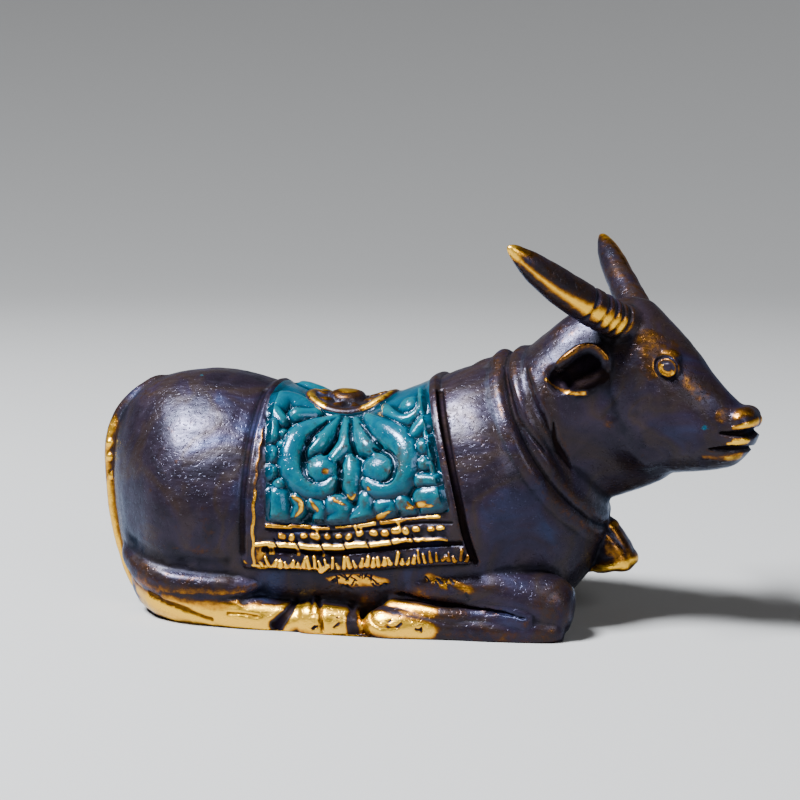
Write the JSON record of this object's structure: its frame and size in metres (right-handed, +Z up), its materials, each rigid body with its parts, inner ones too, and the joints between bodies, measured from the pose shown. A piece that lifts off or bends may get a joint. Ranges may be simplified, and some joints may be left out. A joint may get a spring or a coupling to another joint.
{
  "type": "nandi bull figure",
  "caption": "Small cast brass figure of a lying Nandi bull with a carved saddle cloth, collar and bell, in dark worn patina with a turquoise panel.",
  "frame": {"origin": "Middle of the underside: the centre of the bounding box in plan, at the height of the surface it lies on.", "axes": "+X runs along the body towards the muzzle, +Y is the bull's left side, +Z is up. The head is turned a little towards -Y."},
  "size_m": [0.14, 0.0562, 0.079],
  "materials": {
    "patinated_brass": "glossy blue-black patina, rubbed through to bright brass on ridges, horns and the lower legs; turquoise paint on the carved panel of the cloth"
  },
  "bodies": {
    "root": {"nandi_bull": "patinated_brass"}
  },
  "joints": []
}
